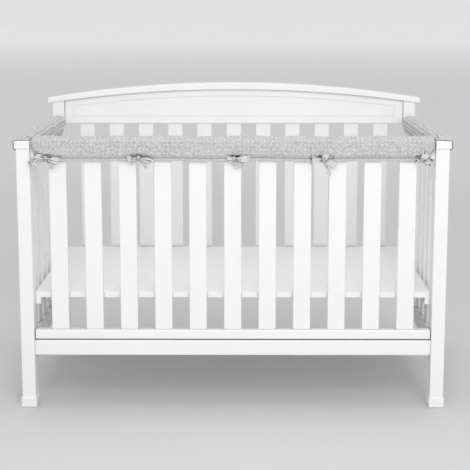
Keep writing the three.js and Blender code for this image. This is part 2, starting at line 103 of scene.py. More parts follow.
# ---------------------------------------------------------------- meshes
def sheet_end_faces(count):
    """Quads over the end of a ring that runs out along one side of a sheet and back along the other."""
    return [[i, i + 1, count - 2 - i, count - 1 - i] for i in range(count // 2 - 1)]


def loft(rings, end_faces=None):
    """Points and faces of a closed surface skinned over rings (rings, count, 3). Both ends get the end
    faces, or one face each, and the whole is turned inside out if its volume comes out negative."""
    number, count, _ = rings.shape
    r, c = np.meshgrid(np.arange(number - 1) * count, np.arange(count), indexing="ij")
    d = (c + 1) % count
    faces = np.stack([r + c, r + d, r + count + d, r + count + c], axis=-1).reshape(-1, 4).tolist()
    last = (number - 1) * count
    for face in end_faces or [list(range(count))]:
        faces += [face[::-1], [last + i for i in face]]
    points = rings.reshape(-1, 3)
    corners = points[np.array([face[:4] for face in faces[:(number - 1) * count]])] - points.mean(axis=0)
    volume = np.einsum("ij,ij->", corners[:, 0], np.cross(corners[:, 1], corners[:, 2]) + np.cross(
        corners[:, 2], corners[:, 3]))
    if volume < 0:
        faces = [face[::-1] for face in faces]
    return points, faces


def join(parts):
    """One list of points and faces from several."""
    points, faces, offset = [], [], 0
    for part_points, part_faces in parts:
        points.append(part_points)
        faces += [[i + offset for i in face] for face in part_faces]
        offset += len(part_points)
    return np.concatenate(points), faces


def piece(name, shape, finish, nodes=()):
    """A smooth mesh object from points in millimetres and faces. It rides on the crib, takes the given finish
    and stands for the nodes, which it hides."""
    points, faces = shape
    mesh = bpy.data.meshes.new(name)
    mesh.from_pydata((points * MM).tolist(), [], faces)
    mesh.polygons.foreach_set("use_smooth", np.ones(len(mesh.polygons), dtype=bool))
    mesh.materials.append(finish)
    made = link(name, mesh)
    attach(made, "root")
    if nodes:
        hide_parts(*nodes)
    return made


def add_uv(made, uv):
    """Gives the mesh a UV map, in metres, from one pair of millimetre values for each point."""
    mesh = made.data
    corner = np.empty(len(mesh.loops), dtype=np.int32)
    mesh.loops.foreach_get("vertex_index", corner)
    mesh.uv_layers.new(name="cloth").data.foreach_set("uv", (uv[corner] * MM).ravel().astype(np.float32))


def add_values(made, name, values):
    """Stores one number for each point under a name that a material can read."""
    made.data.attributes.new(name, "FLOAT", "POINT").data.foreach_set("value", values.astype(np.float32))


# ---------------------------------------------------------------- shader groups
class Nodes:
    """Short calls for building a node tree: each makes one node and returns an output of it."""

    def __init__(self, tree):
        self.tree = tree

    def make(self, kind, inputs=(), output=0, **settings):
        node = self.tree.nodes.new("ShaderNode" + kind)
        for key, value in settings.items():
            setattr(node, key, value)
        self.feed(node, inputs)
        return node.outputs[output]

    def feed(self, node, inputs):
        """Links or sets the node's inputs."""
        for key, value in dict(inputs).items():
            if isinstance(value, bpy.types.NodeSocket):
                self.tree.links.new(value, node.inputs[key])
            else:
                node.inputs[key].default_value = value

    def group(self, tree, inputs):
        """One use of a shader group: returns its outputs by name."""
        node = self.tree.nodes.new("ShaderNodeGroup")
        node.node_tree = tree
        self.feed(node, inputs)
        return node.outputs

    def math(self, operation, a, b=0.0, c=0.0):
        return self.make("Math", {0: a, 1: b, 2: c}, operation=operation)

    def noise(self, vector, scale, detail=2.0, roughness=0.5):
        return self.make("TexNoise", {"Vector": vector, "Scale": scale,
                                      "Detail": detail, "Roughness": roughness})

    def remap(self, value, low, high, to_low=0.0, to_high=1.0):
        """Takes low..high to to_low..to_high smoothly, and holds it there outside."""
        return self.make("MapRange", {0: value, 1: low, 2: high, 3: to_low, 4: to_high},
                         interpolation_type="SMOOTHSTEP")

    def stretch(self, vector, scale):
        return self.make("Mapping", {"Vector": vector, "Scale": scale})

    def shade(self, colour, factor):
        """A colour multiplied by a number."""
        return self.make("VectorMath", {0: colour, 3: factor}, operation="SCALE")

    def value(self, name):
        """A number stored on the mesh under this name."""
        return self.make("Attribute", output=2, attribute_name=name)


def shader_group(name, inputs, outputs, build):
    """A shader node group. inputs holds (name, kind, value) rows, outputs holds names of numbers, and build
    gets the nodes and the group's inputs by name and returns what its outputs take."""
    tree = bpy.data.node_groups.new(name, "ShaderNodeTree")
    for label, kind, value in inputs:
        socket = tree.interface.new_socket(label, in_out="INPUT", socket_type="NodeSocket" + kind)
        if value is not None:
            socket.default_value = value
    for label in outputs:
        tree.interface.new_socket(label, in_out="OUTPUT", socket_type="NodeSocketFloat")
    start, end = tree.nodes.new("NodeGroupInput"), tree.nodes.new("NodeGroupOutput")
    nodes = Nodes(tree)
    nodes.feed(end, build(nodes, start.outputs))
    return tree


def build_dots(n, given):
    """Staggered round dots on a flat cloth. The distance to a dot is the smaller of those to two grids of
    pitch by rows, one half a pitch and half a row on from the other. Dome is 1 in a dot's middle, and
    Ring is 1 round it."""
    split = n.make("SeparateXYZ", {0: given["Place"]}).node.outputs
    distances = []
    for offset in (0.0, 0.5):
        sides = []
        for value, pitch in ((split[0], given["Pitch"]), (split[1], given["Rows"])):
            cell = n.math("ADD", n.math("DIVIDE", value, pitch), offset)
            sides.append(n.math("MULTIPLY", n.math("SUBTRACT", n.math("FRACT", cell), 0.5), pitch))
        squares = [n.math("MULTIPLY", side, side) for side in sides]
        distances.append(n.math("SQRT", n.math("ADD", *squares)))
    away = n.math("DIVIDE", n.math("MINIMUM", *distances), given["Radius"])
    ring = n.math("MULTIPLY", n.remap(away, 0.7, 1.05), n.remap(away, 1.05, 1.6, 1.0, 0.0))
    return {"Dome": n.remap(away, 0.1, 1.0, 1.0, 0.0), "Ring": ring}


def build_fibres(n, given):
    """Mottled fibres from a coarse and a fine noise: a shade about 1 and a height about 0."""
    coarse = n.noise(given["Place"], given["Coarse"], 2.0, 0.5)
    fine = n.noise(given["Place"], given["Fine"], 2.0, 0.7)
    mixed = n.math("MULTIPLY_ADD", coarse, 0.5, n.math("MULTIPLY", fine, 0.5))
    centred = n.math("SUBTRACT", mixed, 0.5)
    return {"Shade": n.math("MULTIPLY_ADD", centred, given["Contrast"], 1.0), "Height": centred}


def build_brushing(n, given):
    """Faint brush marks drawn out along one direction: a shade about 1, a roughness and a height about 0."""
    marks = n.noise(n.stretch(given["Place"], given["Scale"]), 1.0, 3.0, 0.6)
    clouds = n.math("SUBTRACT", n.noise(given["Place"], 4.0), 0.5)
    return {"Shade": n.math("MULTIPLY_ADD", clouds, 0.05, 1.0),
            "Roughness": n.math("MULTIPLY_ADD", marks, 0.16, 0.34),
            "Height": n.math("SUBTRACT", marks, 0.5)}


dots_group = shader_group(
    "embossed_dots",
    [("Place", "Vector", None), ("Pitch", "Float", 0.026),
     ("Rows", "Float", 0.029), ("Radius", "Float", 0.006)],
    ["Dome", "Ring"], build_dots)
fibres_group = shader_group(
    "cloth_fibres",
    [("Place", "Vector", None), ("Coarse", "Float", 110.0),
     ("Fine", "Float", 420.0), ("Contrast", "Float", 0.4)],
    ["Shade", "Height"], build_fibres)
brushing_group = shader_group(
    "paint_brushing", [("Place", "Vector", None), ("Scale", "Vector", (90.0, 90.0, 9.0))],
    ["Shade", "Roughness", "Height"], build_brushing)


def add_world():
    """Soft light from all round, a little stronger from near the horizon than from above."""
    world = bpy.data.worlds.new("studio")
    world.use_nodes = True
    n = Nodes(world.node_tree)
    height = n.make("SeparateXYZ", {0: n.make("TexCoord", output=0)}, output=2)
    tone = n.remap(height, 0.0, 0.35, 0.76, 0.59)
    n.feed(world.node_tree.nodes["Background"], {"Color": n.shade((1.0, 1.003, 1.012), tone)})
    bpy.context.scene.world = world
    bpy.context.scene.view_settings.view_transform = "Standard"


add_world()


# ---------------------------------------------------------------- finishes
def new_finish(name, **sockets):
    """A material, its shader and the short calls for its other nodes."""
    made = bpy.data.materials.new(name)
    made.use_nodes = True
    shader = made.node_tree.nodes["Principled BSDF"]
    for label, value in sockets.items():
        shader.inputs[label.replace("_", " ")].default_value = value
    nodes = Nodes(made.node_tree)
    return made, shader, nodes, nodes.make("TexCoord", output=3)


def painted_crevice_shade(n, reach, darkest):
    """Painted shade in crevices: a colour factor from darkest, where other surfaces stand all round closer
    than reach, up to 1 in the open.
    """
    open_share = n.make("AmbientOcclusion", {"Distance": reach}, output=1, samples=6)
    return n.remap(open_share, 0.25, 0.85, darkest, 1.0)


def satin_paint(name, scale):
    """White satin paint on wood, brushed along the length of the piece, with softened edges and painted shade
    in its joints and crevices.
    """
    made, shader, n, here = new_finish(name, IOR=1.48)
    marks = n.group(brushing_group, {"Place": here, "Scale": scale})
    # Painted shade: darker where pieces meet and under overhangs, from an occlusion node.
    painted_joint_shade = painted_crevice_shade(n, 0.011, 0.62)
    soft_edge = n.make("Bevel", {"Radius": 0.0016}, samples=6)
    bump = n.make("Bump", {"Strength": 0.08, "Distance": 0.0004,
                           "Height": marks["Height"], "Normal": soft_edge})
    n.feed(shader, {"Base Color": n.shade(PAINT, n.math("MULTIPLY", marks["Shade"], painted_joint_shade)),
                    "Roughness": marks["Roughness"], "Normal": bump})
    return made


def plush_cloth(name):
    """Short-pile plush with embossed dots: painted highlights on the dots and the ridges' crests, and painted
    shade round the dots, between the ridges, in the stitched groove, in the folds round the ties and in
    crevices."""
    made, shader, n, here = new_finish(name, Roughness=0.95, Sheen_Weight=0.2, Sheen_Roughness=0.5,
                                       Specular_IOR_Level=0.15)
    flat = n.make("UVMap", uv_map="cloth")
    dots = n.group(dots_group, {"Place": flat, "Pitch": DOT["pitch"] * MM,
                                "Rows": DOT["rows"] * MM, "Radius": DOT["radius"] * MM})
    pile = n.group(fibres_group, {"Place": here, "Coarse": 230.0, "Fine": 480.0, "Contrast": 2.0})
    plain, painted_groove_and_fold_shade, ridge = n.value("plain"), n.value("painted_groove_and_fold_shade"), n.value("ridge")
    patchy = n.math("MULTIPLY", plain, n.remap(n.noise(flat, 22.0, 2.0), 0.35, 0.65, 0.35, 1.0))
    dome, ring = n.math("MULTIPLY", dots["Dome"], patchy), n.math("MULTIPLY", dots["Ring"], patchy)
    # Painted light and shade: lighter on the dots and ridge crests, darker round the dots, between the
    # ridges, in the stitched groove and in the folds round the ties.
    tone = n.math("MULTIPLY_ADD", dome, 0.10, pile["Shade"])
    tone = n.math("MULTIPLY_ADD", ring, -0.17, tone)
    tone = n.math("MULTIPLY_ADD", ridge, 0.20, tone)
    tone = n.math("MULTIPLY_ADD", painted_groove_and_fold_shade, -0.22, tone)
    height = n.math("MULTIPLY_ADD", dome, 0.35, n.math("MULTIPLY", pile["Height"], 2.2))
    bump = n.make("Bump", {"Strength": 0.9, "Distance": 0.0014, "Height": height})
    tone = n.math("MULTIPLY", tone, painted_crevice_shade(n, 0.008, 0.35))
    n.feed(shader, {"Base Color": n.shade(PLUSH_GREY, tone), "Normal": bump})
    return made


def tape_cloth(name):
    """Soft woven tape, mottled by its fibres, with painted shade deep in its creases and in crevices."""
    made, shader, n, here = new_finish(name, Roughness=0.9, Sheen_Weight=0.2, Sheen_Roughness=0.5,
                                       Specular_IOR_Level=0.2)
    fibres = n.group(fibres_group, {"Place": here, "Coarse": 260.0, "Fine": 1100.0, "Contrast": 0.9})
    # Painted shade from the crease values: darker in folds and inside loops, lighter at the tape's edges.
    shadow = n.math("MULTIPLY_ADD", n.value("crease"), -0.98, 1.0)
    tone = n.math("MULTIPLY", n.math("MULTIPLY", fibres["Shade"], shadow), painted_crevice_shade(n, 0.005, 0.3))
    bump = n.make("Bump", {"Strength": 0.7, "Distance": 0.0007, "Height": fibres["Height"]})
    n.feed(shader, {"Base Color": n.shade(TAPE_GREY, tone), "Normal": bump})
    return made


PAINT = (0.868, 0.868, 0.862)
PLUSH_GREY = (0.572, 0.571, 0.571)
TAPE_GREY = (0.640, 0.640, 0.643)
DOT = {"pitch": 26.0, "rows": 29.2, "radius": 6.4, "height": 1.6}   # rows: twice the way between two rows
paint_upright = satin_paint("paint_upright", (60, 60, 6))
paint_lengthwise = satin_paint("paint_lengthwise", (6, 60, 60))
paint_depthwise = satin_paint("paint_depthwise", (60, 6, 60))
plush = plush_cloth("grey_plush")
tape = tape_cloth("grey_tape")

# ---------------------------------------------------------------- the crib
for name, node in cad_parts.items():
    if name.startswith(("guard", "tie")):
        continue
    if "slat" in name or name.startswith("post"):
        finish = paint_upright
    elif name.startswith(("left", "right")):
        finish = paint_depthwise
    else:
        finish = paint_lengthwise
    node.data.materials.clear()
    node.data.materials.append(finish)

# ---------------------------------------------------------------- the guard's sizes
GUARD = {"clear_top": 0.5, "clear_side": 2.0, "padding": 9.5, "crown": 3.0, "hem": 3.0, "plump": 14.0,
         "stitch_line": 11.5, "groove": 1.6, "groove_half": 1.9, "groove_middle": 10.25, "inner_round": 8.0,
         "corner_straight": 14.0, "end_taper": 20.0, "end_share": 0.4, "least": 1.2, "groove_shade_half": 1.1,
         "painted_fold_shade": 3.6, "station_step": 2.6}
OVER_CAP = {"half": 32.0, "top": 895.5, "widen": 32.0, "before": 4.0, "cut_back": 58.0, "reach": 19.0,
            "flatter": 0.35}
RAIL_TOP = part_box("front_top_rail")[1].z / MM
RAIL_HALF = (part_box("front_top_rail")[1].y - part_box("front_top_rail")[0].y) / 2 / MM
INNER_HALF = RAIL_HALF + GUARD["clear_side"]
POST_BACK = 340.0   # from the side rail's middle to the back of the front post
INNER_STEP = 3
RIDGE_HEIGHT = 1.1
UNEVEN = ((0.6, 55, 3, 9), (0.5, 21, 5, 9), (0.4, 11, 7, 15))   # height, length, seed and count of the waves
SWAY = {"along": (2.6, 70, 12), "way": (2.2, 64, 13)}   # amount, length and seed: how far the rows wander
PLAIN = {"from_hem": (1, 5), "from_end": (3, 8)}   # where the pile's relief begins, and over how far it rises
PUCKER = {"hollow": 2.2, "hollow_reach": 16, "crease": 0.9, "crease_reach": 34}
FRONT = "guard_front_cover"
COVERS = {
    FRONT: {"start": -650, "end": 652, "outer_hem": (828, 827), "inner_hem": (836, 834),
            "over_post": 0, "ridge": 0.1, "outer_corner": (60, 44), "inner_corner": (23, 34),
            "rail": "front_top_rail", "across": (0, 1), "along": (1, 0)},
    "guard_left_cover": {"start": -330, "end": 390, "outer_hem": (836, 852), "inner_hem": (833, 831),
                         "over_post": 1, "ridge": 0.9, "outer_corner": (150, 42), "inner_corner": (85, 50),
                         "rail": "left_top_rail", "across": (1, 0), "along": (0, -1)},
    "guard_right_cover": {"start": -390, "end": 332, "outer_hem": (852, 834), "inner_hem": (838, 847),
                          "over_post": -1, "ridge": 0.9, "outer_corner": (150, 42), "inner_corner": (42, 26),
                          "rail": "right_top_rail", "across": (-1, 0), "along": (0, 1)},
}
TAPE = {"thick": 1.2, "strap_width": 15.0, "strap_length": 130, "strap_behind": 3, "under_hem": 4.5,
        "clear": 2.8, "droop": 4.5, "crumple": 1.3}
BAND = {"loop_steps": 73, "loop_closed": 0.97, "end_steps": 41, "end_swell": 0.8, "places": 17,
        "at_knot": 0.42, "beyond": 0.58, "narrow_for": 0.6, "sway": 0.08, "near_knot": 0.4,
        "gathers": 2.1, "gather": 0.5, "gather_at_knot": 1.2, "bow": 1.4,
        "crumple_size": 9, "crumple_drawn": 0.42, "crumple_count": 12}
KNOT = {"width": 12.0, "depth": 9.0, "height": 14.0, "squareness": 2.6, "fold": 0.09, "end": 0.04,
        "dent": 0.06}
# folds: spots of painted shadow round the knot and loops, as offset along, offset up, width and height
TIES = {
    "tie_far_left": {"along": -602, "up": 839, "strap_along": -613, "lean": 10,
                     "folds": [(5, 9, 9, 3.2), (44, 3, 2.4, 5)]},
    "tie_left": {"along": -303, "up": 841, "strap_along": -300, "lean": -8,
                 "folds": [(1, 9, 9, 3.2), (-30, 0, 2.6, 6)]},
    "tie_middle": {"along": 5, "up": 838, "strap_along": 44, "lean": 12,
                   "folds": [(-6, 9, 9, 3.2), (-10, 1, 2.6, 5), (12, 8, 6, 2.6)]},
    "tie_right": {"along": 292, "up": 836, "strap_along": 286, "lean": 20,
                  "folds": [(-8, 9, 9, 3.2), (-38, 3, 2.6, 9), (17, 11, 8, 2.8), (33, 3, 2.6, 6)]},
    "tie_far_right": {"along": 610, "up": 835, "strap_along": 610, "lean": -15,
                      "folds": [(-14, 9, 9, 3.4), (15, 13, 6, 2.6)]},
}


def band_row(tie, kind, angle, bend, length, width, gap, **more):
    """A loop or free end of a bow. angle and bend are degrees anticlockwise from the crib's right, seen
    from the front, and gap is how far a loop's two layers stand apart."""
    return {"tie": tie, "kind": kind, "angle": angle, "bend": bend, "length": length, "width": width,
            "open": gap, **more}


BANDS = [
    band_row("tie_far_left", "loop", 190, 20, 57, 19, 8),
    band_row("tie_far_left", "loop", 2, -22, 43, 19, 8),
    band_row("tie_far_left", "end", 164, 12, 38, 16, 4),
    band_row("tie_far_left", "end", -62, 14, 41, 13, 4),
    band_row("tie_left", "loop", 174, 16, 36, 16, 7),
    band_row("tie_left", "loop", -4, -26, 48, 18, 8),
    band_row("tie_left", "end", 212, -8, 30, 12, 3),
    band_row("tie_left", "end", -60, 20, 44, 14, 4),
    band_row("tie_middle", "loop", 165, 30, 20, 16, 5),
    band_row("tie_middle", "loop", 12, -18, 50, 19, 8),
    band_row("tie_middle", "end", -70, 16, 32, 18, 3),
    band_row("tie_middle", "end", -38, 10, 44, 12, 4),
    band_row("tie_right", "loop", 178, 8, 36, 20, 7),
    band_row("tie_right", "loop", 66, -10, 21, 21, 6),
    band_row("tie_right", "end", -22, -14, 47, 18, 4),
    band_row("tie_right", "end", -58, -22, 56, 15, 3),
    band_row("tie_far_right", "loop", 70, -14, 25, 22, 7),
    band_row("tie_far_right", "loop", -2, -14, 35, 15, 6),
    band_row("tie_far_right", "end", -34, -12, 43, 13, 3),
    band_row("tie_far_right", "end", 196, 16, 22, 12, 3),
]


# ---------------------------------------------------------------- covers
def rise(distance, reach):
    """A quarter of a sine wave, from 0 to 1 while distance goes from 0 to reach."""
    return np.sin(QUARTER * np.clip(distance / reach, 0, 1))


def smooth(value):
    """Takes 0..1 to 0..1 with level ends: three times the square less twice the cube."""
    value = np.clip(value, 0, 1)
    return value * value * (3 - 2 * value)


def waves(across, along, length, seed, count=9):
    """Soft unevenness of about -1 to 1: a sum of plane sine waves near that length in seeded directions."""
    draw = np.random.default_rng(seed)
    total = 0
    for _ in range(count):
        angle, phase, size = draw.uniform(0, math.pi), draw.uniform(0, 2 * math.pi), draw.uniform(0.7, 1.5)
        direction = across * math.cos(angle) + along * math.sin(angle)
        total = total + np.sin(2 * math.pi * direction / (length * size) + phase)
    return total / (1.4 * math.sqrt(count))


def hem_line(cover, side, along):
    """Height of a hem along the cover: a straight line from start to end plus two slow waves."""
    part = (along - cover["start"]) / (cover["end"] - cover["start"])
    first, last = cover[side]
    return first + (last - first) * part + 1.3 * np.sin(along / 61) + 0.5 * np.sin(along / 41)


def hem_height(cover, side, along, from_end, shoulder):
    """The hem with its corners rounded up at the cover's ends, as a quarter of an ellipse."""
    hem = hem_line(cover, side + "_hem", along)
    corner_along, corner_up = cover[side + "_corner"]
    part = 1 - np.clip(from_end / corner_along, 0, 1)
    up = np.minimum(corner_up, shoulder - GUARD["corner_straight"] - hem)
    return hem + up * (1 - np.sqrt(1 - part ** 2))


def section_sizes(cover, along, from_end):
    """At each station: how far the inner surface stands from the rail's middle, how high it lies on top,
    how far the two hems lie from the middle over the cloth, and how much it lies over a cap. There it is
    wider and higher, and the inner side is cut back in a quarter of an ellipse until it only lies on the
    cap."""
    past = cover["over_post"] * along - POST_BACK if cover["over_post"] else np.full(len(along), -1e6)
    over = rise(past + OVER_CAP["before"] + OVER_CAP["widen"], OVER_CAP["widen"])
    half = INNER_HALF + (OVER_CAP["half"] - INNER_HALF) * over
    top = GUARD["clear_top"] + RAIL_TOP + (OVER_CAP["top"] - RAIL_TOP) * over
    shoulder = top - GUARD["inner_round"]
    to_hems = half - GUARD["inner_round"] * (1 - QUARTER) + shoulder
    outer = to_hems - hem_height(cover, "outer", along, from_end, shoulder)
    whole = to_hems - hem_height(cover, "inner", along, from_end, shoulder)
    part = np.clip(1 + (past + OVER_CAP["before"]) / OVER_CAP["cut_back"], 0, 1)
    inner = OVER_CAP["reach"] + (whole - OVER_CAP["reach"]) * np.sqrt(1 - part ** 2)
    return half, top, outer, inner, over


def cloth_thickness(from_hem, from_end, along, across, over=0.0):
    """Thin at the hem, thinner in the stitched line, and above it a quarter-wave rise to the full padding,
    which is thickest over the middle of the rail and thins again over a cap and at the cover's ends."""
    uneven = 0.5 * np.sin(along / 59) + 0.4 * np.sin(along / 33 + 1)
    crown = GUARD["crown"] * np.maximum(0, 1 - (across / INNER_HALF) ** 2)
    plump = (GUARD["padding"] + crown + uneven - GUARD["hem"]) * (1 - OVER_CAP["flatter"] * over)
    at_end = GUARD["end_share"] + (1 - GUARD["end_share"]) * rise(from_end, GUARD["end_taper"])
    padded = GUARD["hem"] + plump * rise(from_hem - GUARD["stitch_line"], GUARD["plump"]) * at_end
    from_groove = np.abs(from_hem - GUARD["groove_middle"])
    return padded - GUARD["groove"] * smooth(1 - from_groove / GUARD["groove_half"])


def wrap(half, top, outer, inner):
    """The cover's inner surface as arrays (stations, places), from the outer hem up, over the rail and down
    to the inner hem: level, then round the shoulder, then down. Returns the place across the rail, the
    height, the outward direction (across, up) and the distance from the nearer hem."""
    near_hem = np.array([0, 0.25, 0.75, 1.5, 3, 5, 7, 8.2, 8.9, 9.6, 10.25, 10.9, 11.6, 12.3, 13.5, 15])
    flat, corner = (half - GUARD["inner_round"])[:, None], GUARD["inner_round"] * QUARTER
    ways, hems = [], []
    for sign, reach in ((-1, outer[:, None]), (1, inner[:, None])):
        fit = np.minimum(1, (reach - near_hem[-1] - 2) / (flat + corner))
        round_shoulder = flat + corner * np.arange(1, 9) / 8
        level = fit * np.concatenate([flat * np.arange(1, 5) / 4, round_shoulder], axis=1)
        last = level[:, -1:]
        down = last + (reach - near_hem[-1] - last) * np.arange(1, 18) / 18
        way = np.concatenate([level, down, reach - near_hem[::-1]], axis=1)
        ways.append(sign * way)
        hems.append(reach - way)
    middle = np.zeros((len(half), 1))
    way = np.concatenate([ways[0][:, ::-1], middle, ways[1]], axis=1)
    from_hem = np.concatenate([hems[0][:, ::-1], np.minimum(outer, inner)[:, None], hems[1]], axis=1)
    distance, sign = np.abs(way), np.sign(way)
    turn = np.clip((distance - flat) / GUARD["inner_round"], 0, QUARTER)
    across = sign * (np.minimum(distance, flat) + GUARD["inner_round"] * np.sin(turn))
    up = top[:, None] - GUARD["inner_round"] * (1 - np.cos(turn)) - np.maximum(0, distance - flat - corner)
    return across, up, sign * np.sin(turn), np.cos(turn), from_hem


def cover_stations(cover):
    """Places along a cover, close together where its ends round off and where its inner side is cut back."""
    ends = np.array([0, 0.4, 1.0, 2.0, 3.5, 5.5, 8, 11, 14, 17, 20, 24])
    start, end = cover["start"] + ends[-1], cover["end"] - ends[-1]
    middle = np.linspace(start, end, round((end - start) / GUARD["station_step"]) + 1)[1:-1]
    if cover["over_post"]:
        cut = cover["over_post"] * (POST_BACK - OVER_CAP["before"] - np.array([0, 0.15, 0.6, 1.3, 2.2, 3.6]))
        middle = np.union1d(middle, cut)
    return np.concatenate([cover["start"] + ends, middle, (cover["end"] - ends)[::-1]])


def dot_relief(u, v):
    """Height of the embossed dots, from 0 to 1: a smooth dome round the nearest point of a staggered grid."""
    nearest = np.inf
    for offset in (0.0, 0.5):
        du = ((u / DOT["pitch"] + offset) % 1 - 0.5) * DOT["pitch"]
        dv = ((v / DOT["rows"] + offset) % 1 - 0.5) * DOT["rows"]
        nearest = np.minimum(nearest, np.hypot(du, dv))
    return smooth(1 - nearest / DOT["radius"])


def row_ridges(u, v):
    """Beaded ridges along the rows of dots, from -1 to 1: a cosine across the rows times a gentler one
    along."""
    beads = 0.45 + 0.55 * np.cos(4 * math.pi * u / DOT["pitch"] + 2 * math.pi * v / DOT["rows"])
    return np.cos(4 * math.pi * v / DOT["rows"]) * beads


def pile_relief(u, v, ridge):
    """Height of the plush over its smooth surface: dots, ridges along the rows of dots, and soft
    unevenness."""
    rows = RIDGE_HEIGHT * ridge * row_ridges(u, v)
    uneven = sum(height * waves(u, v, length, seed, count) for height, length, seed, count in UNEVEN)
    return DOT["height"] * (1 + 0.4 * ridge) * dot_relief(u, v) + rows + uneven


def edge_tuck(distance, half):
    """How far a sheet's two sides draw together near its edge, so that the edge is round."""
    part = np.clip(1 - distance / half, 0, 1)
    return 0.85 * half * (1 - np.sqrt(1 - part ** 2))


def pucker(tie, along, up):
    """Where a tie pulls on the cloth: a hollow at the knot with creases that run out from it."""
    dx, dz = along - tie["along"], up - tie["up"]
    away = np.hypot(dx, 1.2 * dz)
    creases = np.cos(6 * np.arctan2(dz, dx) + dx / 9) * np.exp(-(away / PUCKER["crease_reach"]) ** 2)
    return -PUCKER["hollow"] * np.exp(-(away / PUCKER["hollow_reach"]) ** 2) + PUCKER["crease"] * creases


def painted_fold_shadow(tie, along, up):
    """How much painted shadow a place on the cloth gets in the folds round a tie's knot and loops."""
    aside, above = along - tie["along"], up - tie["up"]
    return sum(np.exp(-((aside - x) / wide) ** 2 - ((above - z) / high) ** 2)
               for x, z, wide, high in tie["folds"])


def cover_surface(cover, ties):
    """The whole cover as rings (stations, places, 3), with its values for the material. The outer side
    stands off the inner one by the cloth's thickness plus the dots, the soft unevenness and the puckers
    at the ties. Both sides draw together at the hems and at the ends."""
    along = cover_stations(cover)
    from_end = np.minimum(along - cover["start"], cover["end"] - along)[:, None]
    *section, over = section_sizes(cover, along, from_end[:, 0])
    across, up, out_across, out_up, from_hem = wrap(*section)
    along = along[:, None] + 0 * across
    thick = cloth_thickness(from_hem, from_end, along, across, over[:, None])
    steps = np.hypot(np.diff(across + thick * out_across), np.diff(up + thick * out_up))
    way = np.pad(np.cumsum(steps, axis=1), ((0, 0), (1, 0)))
    way = way - way[:, [way.shape[1] // 2]]

    (hem_from, hem_over), (end_from, end_over) = PLAIN["from_hem"], PLAIN["from_end"]
    plain = rise(from_hem - GUARD["stitch_line"] - hem_from, hem_over) * rise(from_end - end_from, end_over)
    (u_sway, *u_waves), (v_sway, *v_waves) = SWAY["along"], SWAY["way"]
    u, v = along + u_sway * waves(along, way, *u_waves), way + v_sway * waves(along, way, *v_waves)
    relief = pile_relief(u, v, cover["ridge"])
    for tie in ties:
        relief = relief + pucker(tie, along, up) * np.clip(-out_across, 0, 1)
    tuck = np.maximum(edge_tuck(from_hem, GUARD["hem"] / 2), edge_tuck(from_end, thick / 2))
    outside = np.maximum(thick + relief * plain, GUARD["least"]) - tuck

    inner = np.stack([across + tuck * out_across, along, up + tuck * out_up], axis=-1)[:, ::INNER_STEP]
    outer = np.stack([across + outside * out_across, along, up + outside * out_up], axis=-1)
    section = np.concatenate([inner, outer[:, ::-1]], axis=1)
    centre = middle_of(cover["rail"])
    rings = np.empty_like(section)
    for axis in (0, 1):
        rings[..., axis] = (centre[axis] + section[..., 0] * cover["across"][axis]
                            + section[..., 1] * cover["along"][axis])
    rings[..., 2] = section[..., 2]

    # Painted shade for the material: darker along the stitched groove and in the folds round each tie's knot
    # and loops.
    painted_groove_and_fold_shade = np.exp(-((from_hem - GUARD["groove_middle"]) / GUARD["groove_shade_half"]) ** 2)
    for tie in ties:
        painted_groove_and_fold_shade = painted_groove_and_fold_shade + GUARD["painted_fold_shade"] * painted_fold_shadow(tie, along, up) * (out_across < -0.5)
    hidden = 0 * inner[..., 0]
    # ridge: painted highlight on the ridges' crests and painted shade between them
    values = {
        "plain": np.concatenate([hidden, (plain * (1 + cover["ridge"]))[:, ::-1]], axis=1),
        "painted_groove_and_fold_shade": np.concatenate([hidden, painted_groove_and_fold_shade[:, ::-1]], axis=1),
        "ridge": np.concatenate([hidden, (cover["ridge"] * plain * row_ridges(u, v))[:, ::-1]], axis=1),
        "along": np.concatenate([u[:, ::INNER_STEP], u[:, ::-1]], axis=1),
        "way": np.concatenate([v[:, ::INNER_STEP], v[:, ::-1]], axis=1),
    }
    return rings, values


def cover_end_faces(count):
    """Faces over a cover's end: each step of the coarser inner side against its steps of the outer side."""
    inner_count = (count + INNER_STEP - 1) // (INNER_STEP + 1)
    faces = []
    for i in range(inner_count - 1):
        outside = [count - 1 - i * INNER_STEP - step for step in range(INNER_STEP, -1, -1)]
        faces.append([i, i + 1, *outside])
    return faces


def make_cover(name, node, cover, ties=()):
    """One padded cover as a closed mesh."""
    rings, values = cover_surface(cover, ties)
    made = piece(name, loft(rings, cover_end_faces(rings.shape[1])), plush, [node])
    add_uv(made, np.stack([values["along"].ravel(), values["way"].ravel()], axis=-1))
    for label in ("plain", "painted_groove_and_fold_shade", "ridge"):
        add_values(made, label, values[label].ravel())
    return made


for node, cover in COVERS.items():
    make_cover(node.replace("guard", "plush"), node, cover, TIES.values() if node == FRONT else ())


# ---------------------------------------------------------------- ties
def lay_front(along, up):
    """How far forward a tie's cloth lies at a place: just clear of the front cover, or of a post past it."""
    from_hem = np.maximum(0, up - hem_line(COVERS[FRONT], "outer_hem", along))
    cloth = INNER_HALF + cloth_thickness(from_hem, GUARD["end_taper"], along, INNER_HALF)
    post = np.where(np.abs(along) > POST_EDGE, POST_FACE, 0)
    return np.minimum(middle_of("front_top_rail")[1] - cloth, post) - TAPE["clear"]


